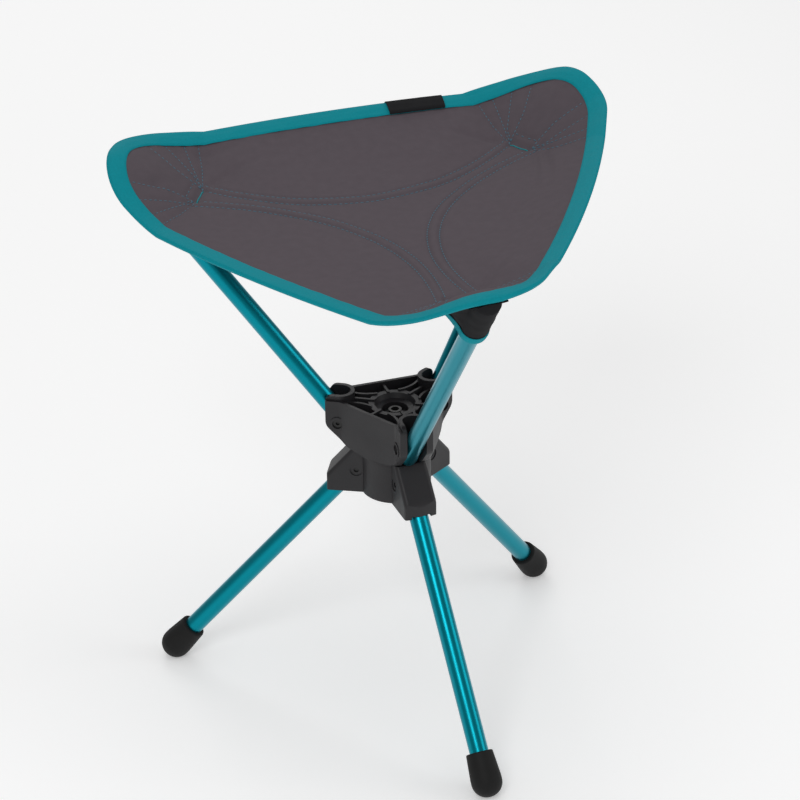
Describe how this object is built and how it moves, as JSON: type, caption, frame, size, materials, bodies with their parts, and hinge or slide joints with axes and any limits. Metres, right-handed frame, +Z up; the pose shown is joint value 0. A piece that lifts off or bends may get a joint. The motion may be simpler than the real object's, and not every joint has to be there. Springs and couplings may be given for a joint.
{
  "type": "swivel camp stool",
  "caption": "Low folding camp stool with a swivelling fabric seat held by hinged arms on a central hub with splayed hinged legs.",
  "frame": {"origin": "on the ground under the swivel axis, midway between the three feet", "axes": "+Z up along the swivel axis; the front leg points along -Y"},
  "size_m": [0.3345, 0.3127, 0.3839],
  "materials": {
    "hub_plastic": "fine grained",
    "anodised_tube": "teal anodised",
    "rubber_foot": "matt",
    "seat_fabric": "woven polyester",
    "teal_tape": "ribbed tape",
    "black_fabric": "woven",
    "steel": "zinc plated",
    "black_steel": "blackened",
    "pale_plastic": "smooth"
  },
  "bodies": {
    "lower_hub": {"lower_hub": "hub_plastic", "swivel_bolt": "black_steel", "swivel_nut": "steel", "nut_washer": "steel", "thrust_washer": "pale_plastic", "leg_pin_front": "black_steel", "leg_pin_right": "black_steel", "leg_pin_left": "black_steel"},
    "upper_hub": {"upper_hub": "hub_plastic", "seat_panel": "seat_fabric", "seat_binding": "teal_tape", "seat_label": "black_fabric", "arm_pin_front": "black_steel", "arm_pin_right": "black_steel", "arm_pin_left": "black_steel"},
    "leg_front": {"leg_tube_front": "anodised_tube", "leg_plug_front": "hub_plastic", "foot_cap_front": "rubber_foot"},
    "arm_front": {"arm_tube_front": "anodised_tube", "arm_plug_front": "hub_plastic", "arm_tip_cap_front": "hub_plastic", "seat_pocket_front": "black_fabric", "pocket_binding_front": "teal_tape"},
    "leg_right": {"leg_tube_right": "anodised_tube", "leg_plug_right": "hub_plastic", "foot_cap_right": "rubber_foot"},
    "arm_right": {"arm_tube_right": "anodised_tube", "arm_plug_right": "hub_plastic", "arm_tip_cap_right": "hub_plastic", "seat_pocket_right": "black_fabric", "pocket_binding_right": "teal_tape"},
    "leg_left": {"leg_tube_left": "anodised_tube", "leg_plug_left": "hub_plastic", "foot_cap_left": "rubber_foot"},
    "arm_left": {"arm_tube_left": "anodised_tube", "arm_plug_left": "hub_plastic", "arm_tip_cap_left": "hub_plastic", "seat_pocket_left": "black_fabric", "pocket_binding_left": "teal_tape"}
  },
  "joints": [
    {"name": "seat_swivel", "type": "hinge", "parent": "lower_hub", "child": "upper_hub", "pos_m": [0, 0, 0.17938], "axis": [0, 0, 1], "continuous": true},
    {"name": "leg_fold_front", "type": "hinge", "parent": "lower_hub", "child": "leg_front", "pos_m": [0, -0.025, 0.16417], "axis": [1, 0, 0], "range_deg": [0, 40.2]},
    {"name": "leg_fold_right", "type": "hinge", "parent": "lower_hub", "child": "leg_right", "pos_m": [0.02165, 0.0125, 0.16417], "axis": [-0.5, 0.866, 0], "range_deg": [0, 40.2]},
    {"name": "leg_fold_left", "type": "hinge", "parent": "lower_hub", "child": "leg_left", "pos_m": [-0.02165, 0.0125, 0.16417], "axis": [-0.5, -0.866, 0], "range_deg": [0, 40.2]},
    {"name": "arm_fold_front", "type": "hinge", "parent": "upper_hub", "child": "arm_front", "pos_m": [-0.00204, -0.03644, 0.19748], "axis": [-0.9984, 0.0558, 0], "range_deg": [0, 25], "deforming": ["seat_panel", "seat_binding", "seat_label"]},
    {"name": "arm_fold_right", "type": "hinge", "parent": "upper_hub", "child": "arm_right", "pos_m": [0.03258, 0.01646, 0.19748], "axis": [0.4509, -0.8926, 0], "range_deg": [0, 25], "deforming": ["seat_panel", "seat_binding", "seat_label"]},
    {"name": "arm_fold_left", "type": "hinge", "parent": "upper_hub", "child": "arm_left", "pos_m": [-0.03054, 0.01999, 0.19748], "axis": [0.5476, 0.8368, 0], "range_deg": [0, 25], "deforming": ["seat_panel", "seat_binding", "seat_label"]}
  ],
  "couplings": [
    {"joint": "arm_fold_right", "follows": "arm_fold_front", "ratio": 1},
    {"joint": "arm_fold_left", "follows": "arm_fold_front", "ratio": 1}
  ]
}
